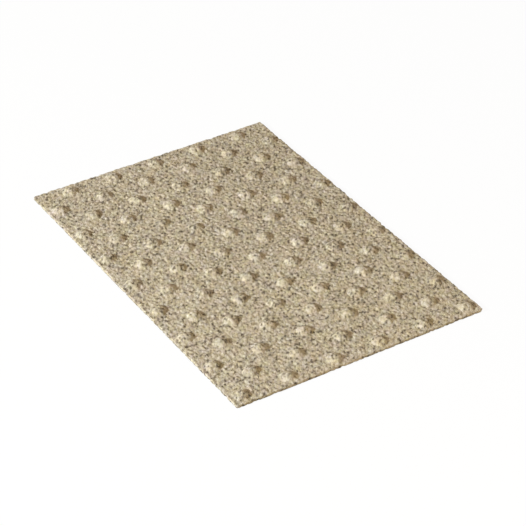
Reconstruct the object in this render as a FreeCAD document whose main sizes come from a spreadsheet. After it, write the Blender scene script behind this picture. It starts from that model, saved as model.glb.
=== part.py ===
import FreeCAD, Part
import os
import Sketcher

# Tactile paving slab: one cast stone plate with a staggered field of round domes on its top.
# Millimetres. Origin at the middle of the underside, +X along the long side, +Z up.

sizes = {
    "slab_length": "598",
    "slab_width": "410.5",
    "plate_thickness": "4",
    "corner_radius": "3",
    "arris_radius": "0.5",
    "dome_diameter": "25",
    "dome_height": "5",
    "dome_pitch": "75",
    "row_pitch": "37.5",
    "row_stagger": "37.5",
}

# How many domes fit on the flat top inside the arris, and where each set of rows begins.
layout = {
    "flat_length": "=Sizes.slab_length - 2 * Sizes.arris_radius - Sizes.dome_diameter",
    "flat_width": "=Sizes.slab_width - 2 * Sizes.arris_radius - Sizes.dome_diameter",
    "domes_in_row": "=floor((flat_length - Sizes.row_stagger) / Sizes.dome_pitch) + 1",
    "row_count": "=floor(flat_width / Sizes.row_pitch) + 1",
    "outer_rows": "=ceil(row_count / 2)",
    "inner_rows": "=floor(row_count / 2)",
    "row_reach": "=((domes_in_row - 1) * Sizes.dome_pitch + Sizes.row_stagger) / 2",
    "rows_reach": "=(row_count - 1) * Sizes.row_pitch / 2",
}


def write_sheet(doc, name, entries):
    sheet = doc.addObject("Spreadsheet::Sheet", name)
    for number, (alias, content) in enumerate(entries.items(), start=1):
        sheet.set("A%d" % number, alias)
        sheet.setAlias("B%d" % number, alias)
        sheet.set("B%d" % number, content)
    doc.recompute()
    return sheet


def origin_feature(body, role):
    return next(f for f in body.Origin.OriginFeatures if f.Role == role)


def new_sketch(body, name, role):
    sketch = body.newObject("Sketcher::SketchObject", name)
    sketch.AttachmentSupport = (origin_feature(body, role), [""])
    sketch.MapMode = "FlatFace"
    return sketch


def constrain(sketch, name, expression, *details):
    number = sketch.addConstraint(Sketcher.Constraint(*details))
    sketch.renameConstraint(number, name)
    sketch.setExpression("Constraints." + name, expression)


# The outline is a rectangle about the origin.
def draw_outline(sketch, length, width):
    x = length / 2
    y = width / 2
    corners = [(-x, -y), (x, -y), (x, y), (-x, y)]
    points = [FreeCAD.Vector(a, b, 0) for a, b in corners]
    for i in range(4):
        sketch.addGeometry(Part.LineSegment(points[i], points[(i + 1) % 4]), False)
    for i in range(4):
        sketch.addConstraint(Sketcher.Constraint("Coincident", i, 2, (i + 1) % 4, 1))
    for i in (0, 2):
        sketch.addConstraint(Sketcher.Constraint("Horizontal", i))
    for i in (1, 3):
        sketch.addConstraint(Sketcher.Constraint("Vertical", i))
    sketch.addConstraint(Sketcher.Constraint("Symmetric", 0, 1, 2, 1, -1, 1))
    constrain(sketch, "length", "Sizes.slab_length", "DistanceX", 0, 1, 0, 2, length)
    constrain(sketch, "width", "Sizes.slab_width", "DistanceY", 1, 1, 1, 2, width)


# Half of a spherical cap, drawn beside its upright axis with its foot on the top of the plate.
def draw_dome(sketch, diameter, height):
    radius = diameter / 2
    sphere = (radius * radius + height * height) / (2 * height)
    foot = FreeCAD.Vector(radius, 0, 0)
    crown = FreeCAD.Vector(0, height, 0)
    centre = FreeCAD.Vector(0, height - sphere, 0)
    start = FreeCAD.Vector(foot.x - centre.x, foot.y - centre.y, 0)
    middle = FreeCAD.Vector(start.x, start.y + sphere, 0).normalize() * sphere + centre
    sketch.addGeometry(Part.LineSegment(crown, FreeCAD.Vector(0, 0, 0)), False)
    sketch.addGeometry(Part.LineSegment(FreeCAD.Vector(0, 0, 0), foot), False)
    sketch.addGeometry(Part.Arc(foot, middle, crown), False)
    sketch.addConstraint(Sketcher.Constraint("Coincident", 0, 2, -1, 1))
    sketch.addConstraint(Sketcher.Constraint("Coincident", 1, 1, 0, 2))
    sketch.addConstraint(Sketcher.Constraint("Coincident", 2, 1, 1, 2))
    sketch.addConstraint(Sketcher.Constraint("Coincident", 2, 2, 0, 1))
    sketch.addConstraint(Sketcher.Constraint("Vertical", 0))
    sketch.addConstraint(Sketcher.Constraint("Horizontal", 1))
    sketch.addConstraint(Sketcher.Constraint("PointOnObject", 2, 3, -2))
    constrain(sketch, "radius", "Sizes.dome_diameter / 2", "DistanceX", 1, 1, 1, 2, radius)
    constrain(sketch, "height", "Sizes.dome_height", "DistanceY", 0, 2, 0, 1, height)


# One dome, then its copies along the row and in every second row.
def add_dome_field(body, name, first_x, first_y, rows):
    sketch = new_sketch(body, name + "_profile", "XZ_Plane")
    sketch.setExpression("AttachmentOffset.Base.x", first_x)
    sketch.setExpression("AttachmentOffset.Base.y", "Sizes.plate_thickness")
    sketch.setExpression("AttachmentOffset.Base.z", "-(%s)" % first_y)
    draw_dome(sketch, float(sizes["dome_diameter"]), float(sizes["dome_height"]))
    doc.recompute()
    dome = body.newObject("PartDesign::Revolution", name + "_first_dome")
    dome.Profile = sketch
    dome.ReferenceAxis = (sketch, ["V_Axis"])
    dome.Angle = 360
    doc.recompute()
    field = body.newObject("PartDesign::LinearPattern", name + "_field")
    field.Originals = [dome]
    field.Direction = (origin_feature(body, "X_Axis"), [""])
    field.Mode = "Spacing"
    field.setExpression("Offset", "Sizes.dome_pitch")
    field.setExpression("Occurrences", "Layout.domes_in_row")
    field.Direction2 = (origin_feature(body, "Y_Axis"), [""])
    field.Mode2 = "Extent"
    field.setExpression("Length2", "2 * Sizes.row_pitch * (%s - 1)" % rows)
    field.setExpression("Occurrences2", rows)
    body.Tip = field
    doc.recompute()
    return field


def edge_names(shape, wanted):
    return ["Edge%d" % (i + 1) for i, edge in enumerate(shape.Edges) if wanted(edge)]


def is_upright(edge):
    return edge.BoundBox.ZLength > 0.5 * plate.Shape.BoundBox.ZLength


def is_on_top(edge):
    return edge.BoundBox.ZMin > plate.Shape.BoundBox.ZMax - 0.001


doc = FreeCAD.newDocument("tactile_slab")
write_sheet(doc, "Sizes", sizes)
write_sheet(doc, "Layout", layout)

slab = doc.addObject("PartDesign::Body", "Slab")
slab.Label = "tactile_slab"

outline = new_sketch(slab, "outline", "XY_Plane")
draw_outline(outline, float(sizes["slab_length"]), float(sizes["slab_width"]))
doc.recompute()
plate = slab.newObject("PartDesign::Pad", "plate")
plate.Profile = outline
plate.setExpression("Length", "Sizes.plate_thickness")
doc.recompute()

corners = slab.newObject("PartDesign::Fillet", "corners")
corners.Base = (plate, edge_names(plate.Shape, is_upright))
corners.setExpression("Radius", "Sizes.corner_radius")
doc.recompute()

arris = slab.newObject("PartDesign::Fillet", "arris")
arris.Base = (corners, edge_names(corners.Shape, is_on_top))
arris.setExpression("Radius", "Sizes.arris_radius")
doc.recompute()

# The outer set has the first and last rows and stands nearer the +X end, and the inner set lies between.
add_dome_field(
    slab,
    "outer",
    "Sizes.row_stagger - Layout.row_reach",
    "-Layout.rows_reach",
    "Layout.outer_rows",
)
add_dome_field(
    slab,
    "inner",
    "-Layout.row_reach",
    "Sizes.row_pitch - Layout.rows_reach",
    "Layout.inner_rows",
)

slab.Placement = FreeCAD.Placement()
doc.recompute()

for item in doc.Objects:
    if "Invalid" in item.State or "Error" in item.State:
        raise RuntimeError("%s did not build: %s" % (item.Label, item.State))
if slab.Shape.isNull() or not slab.Shape.isValid() or len(slab.Shape.Solids) != 1:
    raise RuntimeError("the slab is not one valid solid")

os.makedirs("parts", exist_ok=True)
slab.Shape.exportStep("parts/%s.step" % slab.Label)
box = slab.Shape.BoundBox
print("slab %.2f x %.2f x %.2f mm" % (box.XLength, box.YLength, box.ZLength))
print("solids %d faces %d volume %.0f" % (len(slab.Shape.Solids), len(slab.Shape.Faces), slab.Shape.Volume))
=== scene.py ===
import math
import bmesh
import bpy
from mathutils import Matrix, Vector, noise


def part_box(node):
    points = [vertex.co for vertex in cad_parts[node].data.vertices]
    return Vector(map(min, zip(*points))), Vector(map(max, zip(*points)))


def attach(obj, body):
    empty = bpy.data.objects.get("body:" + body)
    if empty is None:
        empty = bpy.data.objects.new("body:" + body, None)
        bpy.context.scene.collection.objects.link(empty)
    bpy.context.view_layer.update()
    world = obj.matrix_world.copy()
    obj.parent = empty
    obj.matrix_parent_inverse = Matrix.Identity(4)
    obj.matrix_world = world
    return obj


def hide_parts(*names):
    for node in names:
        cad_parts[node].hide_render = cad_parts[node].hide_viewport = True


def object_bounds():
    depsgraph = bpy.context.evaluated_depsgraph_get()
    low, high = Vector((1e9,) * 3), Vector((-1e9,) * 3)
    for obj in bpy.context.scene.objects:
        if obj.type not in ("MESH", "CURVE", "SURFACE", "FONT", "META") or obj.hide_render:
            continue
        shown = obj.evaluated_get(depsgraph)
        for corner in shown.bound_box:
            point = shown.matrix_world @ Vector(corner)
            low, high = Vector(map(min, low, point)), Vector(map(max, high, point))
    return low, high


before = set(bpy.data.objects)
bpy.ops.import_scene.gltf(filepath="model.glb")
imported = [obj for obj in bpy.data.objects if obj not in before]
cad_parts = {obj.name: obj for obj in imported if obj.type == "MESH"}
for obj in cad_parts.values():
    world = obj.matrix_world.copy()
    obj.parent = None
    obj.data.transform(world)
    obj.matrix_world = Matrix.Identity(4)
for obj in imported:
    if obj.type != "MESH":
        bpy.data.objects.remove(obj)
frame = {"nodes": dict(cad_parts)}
cadBox = [list(corner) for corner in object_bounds()]
scene = bpy.context.scene
print("frame loaded:", ", ".join(frame["nodes"]))


# slab piece, in metres

slab = {
    "node": "tactile_slab",
    "meshStep": 0.00163,  # spacing of the walked face's mesh
    "arrisRadius": 0.0005,
    "arrisTurns": (45, 90),  # degrees round the arris, one loop each
    "cornerRadius": 0.003,
    "wallLoops": 2,
    "domeRadius": 0.0125,
    "domeHeight": 0.005,
    "domePitch": 0.075,
    "domesInRow": 8,
    "rowPitch": 0.0375,
    "rowStagger": 0.0375,
    "rowCount": 11,
    "footSnap": 0.5,  # mesh steps within which a vertex joins the foot circle
    "grainDepth": 0.0013,  # how far the cast skin swells and dips
    "grainSize": 0.0045,
    "edgeBand": 0.0025,  # the skin is calmer this close to the edges
    "edgeGrainDepth": 0.0009,
    "nibbleDepth": 0.0014,  # how far the top edge is nibbled in
    "nibbleFoot": 0.0008,  # how much deeper the bites go at the walls' foot
    "nibbleSize": 0.0045,
    "nibbleShift": (7, 3, 1),  # keeps the bites apart from the skin's swells
    "nibbleDip": 0.35,  # how far a bite sinks for each metre it goes in
    "onRim": 1e-6,  # a vertex this near a side belongs to it
    "offFloor": 1e-5,  # a vertex this high is clear of the underside
}


def isOnRim(v, half):
    return abs(v.co.x) > half.x - slab["onRim"] or abs(v.co.y) > half.y - slab["onRim"]


def pushOut(verts, half, reach):  # moves a rim loop out past the flat's half sizes
    for v in verts:
        if abs(v.co.x) > half.x - slab["onRim"]:
            v.co.x = math.copysign(half.x + reach, v.co.x)
        if abs(v.co.y) > half.y - slab["onRim"]:
            v.co.y = math.copysign(half.y + reach, v.co.y)


def extrudeRim(bm, rim):
    grown = bmesh.ops.extrude_edge_only(bm, edges=rim)["geom"]
    verts = [g for g in grown if isinstance(g, bmesh.types.BMVert)]
    edges = [g for g in grown if isinstance(g, bmesh.types.BMEdge) and g.is_boundary]
    return verts, edges


def roundCorners(bm, half, radius):
    for v in bm.verts:
        dx = abs(v.co.x) - (half.x - radius)
        dy = abs(v.co.y) - (half.y - radius)
        if dx > 0 and dy > 0:
            pull = max(dx, dy) / math.hypot(dx, dy)  # square corner to quarter round
            v.co.x = math.copysign(half.x - radius + dx * pull, v.co.x)
            v.co.y = math.copysign(half.y - radius + dy * pull, v.co.y)


def nearestDome(x, y):
    row = round(y / slab["rowPitch"] + (slab["rowCount"] - 1) / 2)
    row = min(max(row, 0), slab["rowCount"] - 1)
    reach = ((slab["domesInRow"] - 1) * slab["domePitch"] + slab["rowStagger"]) / 2
    startX = -reach + (slab["rowStagger"] if row % 2 == 0 else 0)
    place = min(max(round((x - startX) / slab["domePitch"]), 0), slab["domesInRow"] - 1)
    return startX + place * slab["domePitch"], (row - (slab["rowCount"] - 1) / 2) * slab["rowPitch"]


def raiseDomes(verts):
    foot = slab["domeRadius"]
    rise = slab["domeHeight"]
    ball = (foot * foot + rise * rise) / (2 * rise)
    for v in verts:
        domeX, domeY = nearestDome(v.co.x, v.co.y)
        dx, dy = v.co.x - domeX, v.co.y - domeY
        out = math.hypot(dx, dy)
        if abs(out - foot) < slab["footSnap"] * slab["meshStep"]:  # a clean foot circle
            v.co.x = domeX + dx * foot / out
            v.co.y = domeY + dy * foot / out
        elif out < foot:
            v.co.z += math.sqrt(ball * ball - out * out) - (ball - rise)


def roughenSkin(bm, half, floorZ):
    bm.normal_update()
    for v in bm.verts:
        if v.co.z > floorZ + slab["offFloor"]:
            inside = min(half.x - abs(v.co.x), half.y - abs(v.co.y))
            depth = slab["grainDepth"] if inside > slab["edgeBand"] else slab["edgeGrainDepth"]
            v.co += v.normal * noise.noise(v.co / slab["grainSize"]) * depth


def nibbleEdges(verts, half, plateTop, floorZ):  # worn arris and ragged walls, always inwards
    corner = slab["cornerRadius"]
    shift = Vector(slab["nibbleShift"])
    for v in verts:
        outX = math.copysign(max(abs(v.co.x) - half.x + corner, 0), v.co.x)
        outY = math.copysign(max(abs(v.co.y) - half.y + corner, 0), v.co.y)
        down = max(plateTop - v.co.z, 0) / (plateTop - floorZ)
        depth = slab["nibbleDepth"] + down * slab["nibbleFoot"]
        bite = max(noise.noise(v.co / slab["nibbleSize"] + shift), 0) * depth
        v.co -= Vector((outX, outY, 0)).normalized() * bite
        if v.co.z > floorZ + slab["offFloor"]:
            v.co.z -= bite * slab["nibbleDip"]


def makeSlab():
    low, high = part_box(slab["node"])
    half = (high - low) / 2
    arris = slab["arrisRadius"]
    plateTop = high.z - slab["domeHeight"]
    flat = Vector((half.x - arris, half.y - arris, 0))
    bm = bmesh.new()
    bmesh.ops.create_grid(
        bm,
        x_segments=round(2 * flat.x / slab["meshStep"]),
        y_segments=round(2 * flat.y / slab["meshStep"]),
        size=0.5,  # a metre square, brought to size below
    )
    bmesh.ops.scale(bm, vec=(2 * flat.x, 2 * flat.y, 1), verts=bm.verts)
    bmesh.ops.translate(bm, vec=(0, 0, plateTop), verts=bm.verts)
    raiseDomes([v for v in bm.verts if not isOnRim(v, flat)])
    rim = [e for e in bm.edges if e.is_boundary]
    edgeVerts = [v for v in bm.verts if v.is_boundary]
    for turn in slab["arrisTurns"]:  # rounded top edge
        angle = math.radians(turn)
        verts, rim = extrudeRim(bm, rim)
        edgeVerts += verts
        pushOut(verts, flat, arris * math.sin(angle))
        for v in verts:
            v.co.z = plateTop - arris * (1 - math.cos(angle))
    drop = (plateTop - arris - low.z) / slab["wallLoops"]
    for _ in range(slab["wallLoops"]):  # walls down to the bedding face
        verts, rim = extrudeRim(bm, rim)
        edgeVerts += verts
        bmesh.ops.translate(bm, vec=(0, 0, -drop), verts=verts)
    underside = bmesh.ops.contextual_create(bm, geom=rim)["faces"]
    roundCorners(bm, half, slab["cornerRadius"])
    bmesh.ops.recalc_face_normals(bm, faces=bm.faces)
    roughenSkin(bm, half, low.z)
    nibbleEdges(edgeVerts, half, plateTop, low.z)
    for face in bm.faces:
        face.smooth = True
    for face in underside:
        face.smooth = False
    mesh = bpy.data.meshes.new("cast_slab")
    bm.to_mesh(mesh)
    bm.free()
    piece = bpy.data.objects.new("cast_slab", mesh)
    scene.collection.objects.link(piece)
    return piece


# stone finish

stone = {
    "paleChip": (0.62, 0.53, 0.37),
    "beigeChip": (0.465, 0.384, 0.255),
    # the darkest colour, used for dark chips and for the painted shade in pits
    "darkChipAndPitShade": (0.13, 0.10, 0.062),
    "chipSize": 0.0027,
    "gritSize": 0.0016,
    "lieTurn": 58,  # degrees from the short side; the chips are drawn out this way
    "lieStretch": 1.35,
    "wobbleSize": 0.003,  # bends the chips' outlines
    "wobbleReach": 0.0016,
    "cloudSize": 0.035,  # broad lighter and darker clouds
    "cloudTone": 0.09,
    "mottleSize": 0.0045,  # soft light and dark between the chips
    "mottleTone": (1.2, -0.24),  # gain and start
    "chipTone": 0.46,  # how much one chip differs from the next
    "pitSize": 0.0041,  # round dots: most are painted shade of small pits, the rest pale grains
    "pitShadeTone": (1.25, -0.83),
    "pitReach": 0.65,  # a dot's radius in cells
    "noiseSpan": (0.3, 0.7),  # where noise values mostly lie
    "beigeTone": 0.5,  # darker tones lead to the dark chips and the painted pit shade, lighter ones to the pale
    "chipTints": ((1.0, 0.99, 0.90), (1.0, 0.99, 1.10)),
    "patchSize": 0.011,
    "patchTints": (
        ((1.01, 1.0, 0.935), (0.99, 1.0, 1.065)),  # yellower to greyer
        ((1.02, 0.985, 0.99), (0.98, 1.015, 1.01)),  # redder to greener
    ),
    "chipFall": -0.8,  # height lost from a chip's middle outwards
    "gritFall": -0.4,
    "roughness": (0.72, 0.92),
    "specular": 0.25,
    "bumpDistance": 0.0005,
    "paintedWallShade": 0.80,  # painted shade: the walls' colour is darker to stand in for the light they get less of
    "paintedWallShadeTop": (0.0028, 0.0036),  # height over which the painted wall shade fades into the top
}


def addNode(tree, kind, **values):
    node = tree.nodes.new(kind)
    for name, value in values.items():
        if name in node.inputs:
            node.inputs[name].default_value = value
        else:
            setattr(node, name, value)
    return node


def fillSocket(tree, socket, value):  # a link, a colour or a plain number
    if isinstance(value, bpy.types.NodeSocket):
        tree.links.new(value, socket)
    elif isinstance(value, tuple) and socket.type == "RGBA":
        socket.default_value = (*value, 1)
    else:
        socket.default_value = value


def addMath(tree, operation, *values):
    node = addNode(tree, "ShaderNodeMath", operation=operation)
    for socket, value in zip(node.inputs, values):
        fillSocket(tree, socket, value)
    return node.outputs[0]


def addMix(tree, blend, factor, first, second):
    node = addNode(tree, "ShaderNodeMix", data_type="RGBA", blend_type=blend)
    sockets = (node.inputs[0], node.inputs[6], node.inputs[7])  # factor and the two colours
    for socket, value in zip(sockets, (factor, first, second)):
        fillSocket(tree, socket, value)
    return node.outputs[2]


def addRange(tree, value, fromLow, fromHigh, toLow=0.0, toHigh=1.0):
    node = addNode(tree, "ShaderNodeMapRange")
    names = ("Value", "From Min", "From Max", "To Min", "To Max")
    for name, setting in zip(names, (value, fromLow, fromHigh, toLow, toHigh)):
        fillSocket(tree, node.inputs[name], setting)
    return node.outputs[0]


def addScaled(tree, place, size):  # place divided by a grain size, so one cell is that size
    node = addNode(tree, "ShaderNodeVectorMath", operation="SCALE")
    tree.links.new(place, node.inputs[0])
    fillSocket(tree, node.inputs["Scale"], addMath(tree, "DIVIDE", 1.0, size))
    return node.outputs[0]


def addNoise(tree, place, size, detail):
    node = addNode(tree, "ShaderNodeTexNoise", Scale=1.0, Detail=detail)
    tree.links.new(addScaled(tree, place, size), node.inputs["Vector"])
    return node


def addCells(tree, place, size):  # chips: distance from each one's middle, and three lots of luck
    node = addNode(tree, "ShaderNodeTexVoronoi", Scale=1.0)
    tree.links.new(addScaled(tree, place, size), node.inputs["Vector"])
    luck = addNode(tree, "ShaderNodeSeparateColor")
    tree.links.new(node.outputs["Color"], luck.inputs[0])
    return node.outputs["Distance"], luck.outputs


# chip colours, with painted shade in the pits and on the walls
def makeChipGroup():
    tree = bpy.data.node_groups.new("stoneChips", "ShaderNodeTree")
    sockets = tree.interface
    sockets.new_socket("Place", in_out="INPUT", socket_type="NodeSocketVector")
    for name in ("Pale Chip", "Beige Chip", "Dark Chip And Pit Shade"):
        sockets.new_socket(name, in_out="INPUT", socket_type="NodeSocketColor")
    for name in ("Chip Size", "Grit Size"):
        sockets.new_socket(name, in_out="INPUT", socket_type="NodeSocketFloat")
    sockets.new_socket("Colour", in_out="OUTPUT", socket_type="NodeSocketColor")
    sockets.new_socket("Height", in_out="OUTPUT", socket_type="NodeSocketFloat")
    sockets.new_socket("Roughness", in_out="OUTPUT", socket_type="NodeSocketFloat")
    given = tree.nodes.new("NodeGroupInput").outputs
    made = tree.nodes.new("NodeGroupOutput").inputs

    lie = addNode(tree, "ShaderNodeMapping", vector_type="TEXTURE")
    lie.inputs["Rotation"].default_value = (0, 0, math.radians(stone["lieTurn"]))
    lie.inputs["Scale"].default_value = (1, stone["lieStretch"], 1)
    tree.links.new(given["Place"], lie.inputs["Vector"])
    place = lie.outputs[0]
    wobble = addNoise(tree, place, stone["wobbleSize"], detail=1.0)
    shift = addNode(tree, "ShaderNodeVectorMath", operation="MULTIPLY_ADD")
    shift.inputs[1].default_value = (stone["wobbleReach"],) * 3
    tree.links.new(wobble.outputs["Color"], shift.inputs[0])
    tree.links.new(place, shift.inputs[2])
    chipFar, chipLuck = addCells(tree, shift.outputs[0], given["Chip Size"])
    gritFar, gritLuck = addCells(tree, shift.outputs[0], given["Grit Size"])
    cloud = addNoise(tree, place, stone["cloudSize"], detail=2.0).outputs[0]
    cloudTone = stone["cloudTone"]

    mottle = addNoise(tree, place, stone["mottleSize"], detail=0.0).outputs[0]
    tone = addMath(tree, "MULTIPLY_ADD", mottle, *stone["mottleTone"])
    tone = addMath(tree, "MULTIPLY_ADD", chipLuck[0], stone["chipTone"], tone)
    tone = addMath(tree, "ADD", tone, addRange(tree, cloud, *stone["noiseSpan"], -cloudTone, cloudTone))
    # painted shade: round dots, mostly dark, stand in for shade in small pits; the rest are pale grains
    pitFar, pitLuck = addCells(tree, place, stone["pitSize"])
    pitShadeAndPaleDot = addMath(tree, "MULTIPLY_ADD", pitLuck[0], *stone["pitShadeTone"])
    inDot = addRange(tree, pitFar, 0.0, stone["pitReach"], 1.0, 0.0)
    tone = addMath(tree, "MULTIPLY_ADD", inDot, pitShadeAndPaleDot, tone)

    toBeige = addRange(tree, tone, 0.0, stone["beigeTone"])
    toPale = addRange(tree, tone, stone["beigeTone"], 1.0)
    colour = addMix(tree, "MIX", toBeige, given["Dark Chip And Pit Shade"], given["Beige Chip"])
    colour = addMix(tree, "MIX", toPale, colour, given["Pale Chip"])
    hue = addMix(tree, "MIX", chipLuck[1], *stone["chipTints"])
    colour = addMix(tree, "MULTIPLY", 1.0, colour, hue)
    patch = addNode(tree, "ShaderNodeSeparateColor")
    patches = addNoise(tree, place, stone["patchSize"], detail=1.0)
    tree.links.new(patches.outputs["Color"], patch.inputs[0])
    for channel, tints in enumerate(stone["patchTints"]):
        hue = addMix(tree, "MIX", addRange(tree, patch.outputs[channel], *stone["noiseSpan"]), *tints)
        colour = addMix(tree, "MULTIPLY", 1.0, colour, hue)
    # painted shade: the colour below the top is darkened, standing in for less light on the walls
    up = addNode(tree, "ShaderNodeSeparateXYZ")
    tree.links.new(given["Place"], up.inputs[0])
    paintedWallDarkening = addRange(tree, up.outputs[2], *stone["paintedWallShadeTop"], stone["paintedWallShade"], 1.0)
    colour = addMix(tree, "MULTIPLY", 1.0, colour, paintedWallDarkening)
    tree.links.new(colour, made["Colour"])

    height = addMath(tree, "MULTIPLY_ADD", chipFar, stone["chipFall"], chipLuck[2])
    height = addMath(tree, "MULTIPLY_ADD", gritFar, stone["gritFall"], height)
    tree.links.new(height, made["Height"])
    tree.links.new(addRange(tree, gritLuck[2], 0.0, 1.0, *stone["roughness"]), made["Roughness"])
    return tree


def makeStone(chipGroup):
    material = bpy.data.materials.new("castStone")
    material.use_nodes = True
    tree = material.node_tree
    shader = tree.nodes["Principled BSDF"]
    shader.inputs["Specular IOR Level"].default_value = stone["specular"]
    place = addNode(tree, "ShaderNodeTexCoord")
    chips = addNode(tree, "ShaderNodeGroup", node_tree=chipGroup)
    tree.links.new(place.outputs["Object"], chips.inputs["Place"])
    fillSocket(tree, chips.inputs["Pale Chip"], stone["paleChip"])
    fillSocket(tree, chips.inputs["Beige Chip"], stone["beigeChip"])
    fillSocket(tree, chips.inputs["Dark Chip And Pit Shade"], stone["darkChipAndPitShade"])
    fillSocket(tree, chips.inputs["Chip Size"], stone["chipSize"])
    fillSocket(tree, chips.inputs["Grit Size"], stone["gritSize"])
    bump = addNode(tree, "ShaderNodeBump", Strength=1.0, Distance=stone["bumpDistance"])
    tree.links.new(chips.outputs["Height"], bump.inputs["Height"])
    tree.links.new(chips.outputs["Colour"], shader.inputs["Base Color"])
    tree.links.new(chips.outputs["Roughness"], shader.inputs["Roughness"])
    tree.links.new(bump.outputs["Normal"], shader.inputs["Normal"])
    return material


# studio

keyLamp = {
    "from": (-0.08, -0.997),  # where the lamp stands, seen from above
    "elevation": 23,
    "colour": (0.745, 0.855, 0.985),
    "power": 246,
    "away": 3.7,
    "width": 0.5,
}

sideLamp = {
    "from": (1.0, 0.1),
    "elevation": 24,
    "colour": (1.0, 0.96, 0.8),
    "power": 2.6,
    "away": 1.3,
    "width": 0.3,
}

studio = {
    "fillColour": (1.0, 0.83, 0.64),
    "fillStrength": 0.408,
    "floorHalf": 4.0,
    "floorGap": 0.0003,  # keeps the floor clear of the underside
    "floorColour": (0.95, 0.89, 0.78),
    "floorShadow": 0.05,  # share of the floor that takes the lamp's shadow
}


def seenDirectly(tree):  # 1 for camera, glossy and transmission rays
    rays = addNode(tree, "ShaderNodeLightPath")
    seen = addMath(tree, "MAXIMUM", rays.outputs["Is Camera Ray"], rays.outputs["Is Glossy Ray"])
    return addMath(tree, "MAXIMUM", seen, rays.outputs["Is Transmission Ray"])


def makeWorld():
    world = bpy.data.worlds.new("studioFill")
    world.use_nodes = True
    tree = world.node_tree
    fill = tree.nodes["Background"]
    fill.inputs["Color"].default_value = (*studio["fillColour"], 1)
    fill.inputs["Strength"].default_value = studio["fillStrength"]
    white = addNode(tree, "ShaderNodeBackground", Color=(1, 1, 1, 1), Strength=1.0)
    mix = addNode(tree, "ShaderNodeMixShader")
    tree.links.new(seenDirectly(tree), mix.inputs[0])
    tree.links.new(fill.outputs[0], mix.inputs[1])
    tree.links.new(white.outputs[0], mix.inputs[2])
    tree.links.new(mix.outputs[0], tree.nodes["World Output"].inputs["Surface"])
    scene.world = world


def makeFloor():
    bm = bmesh.new()
    bmesh.ops.create_grid(bm, x_segments=1, y_segments=1, size=studio["floorHalf"])
    bmesh.ops.translate(bm, vec=(0, 0, cadBox[0][2] - studio["floorGap"]), verts=bm.verts)
    mesh = bpy.data.meshes.new("floor")
    bm.to_mesh(mesh)
    bm.free()
    floor = bpy.data.objects.new("floor", mesh)
    scene.collection.objects.link(floor)
    material = bpy.data.materials.new("paleFloor")
    material.use_nodes = True
    tree = material.node_tree
    tree.nodes.remove(tree.nodes["Principled BSDF"])
    matte = addNode(tree, "ShaderNodeBsdfDiffuse", Color=(*studio["floorColour"], 1))
    white = addNode(tree, "ShaderNodeEmission", Color=(1, 1, 1, 1), Strength=1.0)
    mix = addNode(tree, "ShaderNodeMixShader")
    share = addMath(tree, "MULTIPLY", seenDirectly(tree), 1 - studio["floorShadow"])
    tree.links.new(share, mix.inputs[0])
    tree.links.new(matte.outputs[0], mix.inputs[1])
    tree.links.new(white.outputs[0], mix.inputs[2])
    tree.links.new(mix.outputs[0], tree.nodes["Material Output"].inputs["Surface"])
    mesh.materials.append(material)


def makeLamp(name, look):
    lamp = bpy.data.lights.new(name, "AREA")
    lamp.shape = "DISK"
    lamp.size = look["width"]
    lamp.energy = look["power"]
    lamp.color = look["colour"]
    holder = bpy.data.objects.new(name, lamp)
    holder.visible_camera = False
    scene.collection.objects.link(holder)
    side = Vector((*look["from"], 0)).normalized()
    rise = math.radians(look["elevation"])
    toLamp = side * math.cos(rise) + Vector((0, 0, math.sin(rise)))
    holder.location = toLamp * look["away"]
    holder.rotation_euler = toLamp.to_track_quat("Z", "Y").to_euler()


# camera

view = {
    "azimuth": 57.9523,
    "elevation": 35.4588,
    "roll": -0.0939,
    "aim": (0.036903, 0.00002, 0.004),
    "distance": 3.113987,
    "lens": 145.447,
    "sensor": 36,
    "farClip": 50,
}


def makeCamera():
    data = bpy.data.cameras.new("photoView")
    data.lens = view["lens"]
    data.sensor_width = view["sensor"]
    data.clip_end = view["farClip"]
    camera = bpy.data.objects.new("photoView", data)
    scene.collection.objects.link(camera)
    turn, rise = math.radians(view["azimuth"]), math.radians(view["elevation"])
    back = Vector((math.sin(turn) * math.cos(rise), -math.cos(turn) * math.cos(rise), math.sin(rise)))
    camera.location = Vector(view["aim"]) + back * view["distance"]
    level = back.to_track_quat("Z", "Y").to_matrix()
    camera.rotation_euler = (level @ Matrix.Rotation(math.radians(view["roll"]), 3, "Z")).to_euler()
    scene.camera = camera


scene.view_settings.view_transform = "Standard"
makeCamera()
makeWorld()
makeLamp("keyLamp", keyLamp)
makeLamp("sideLamp", sideLamp)
makeFloor()
print("studio ready")

piece = makeSlab()
piece.data.materials.append(makeStone(makeChipGroup()))
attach(piece, "root")
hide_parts(slab["node"])
print("slab made:", sum(len(p.vertices) - 2 for p in piece.data.polygons), "triangles")
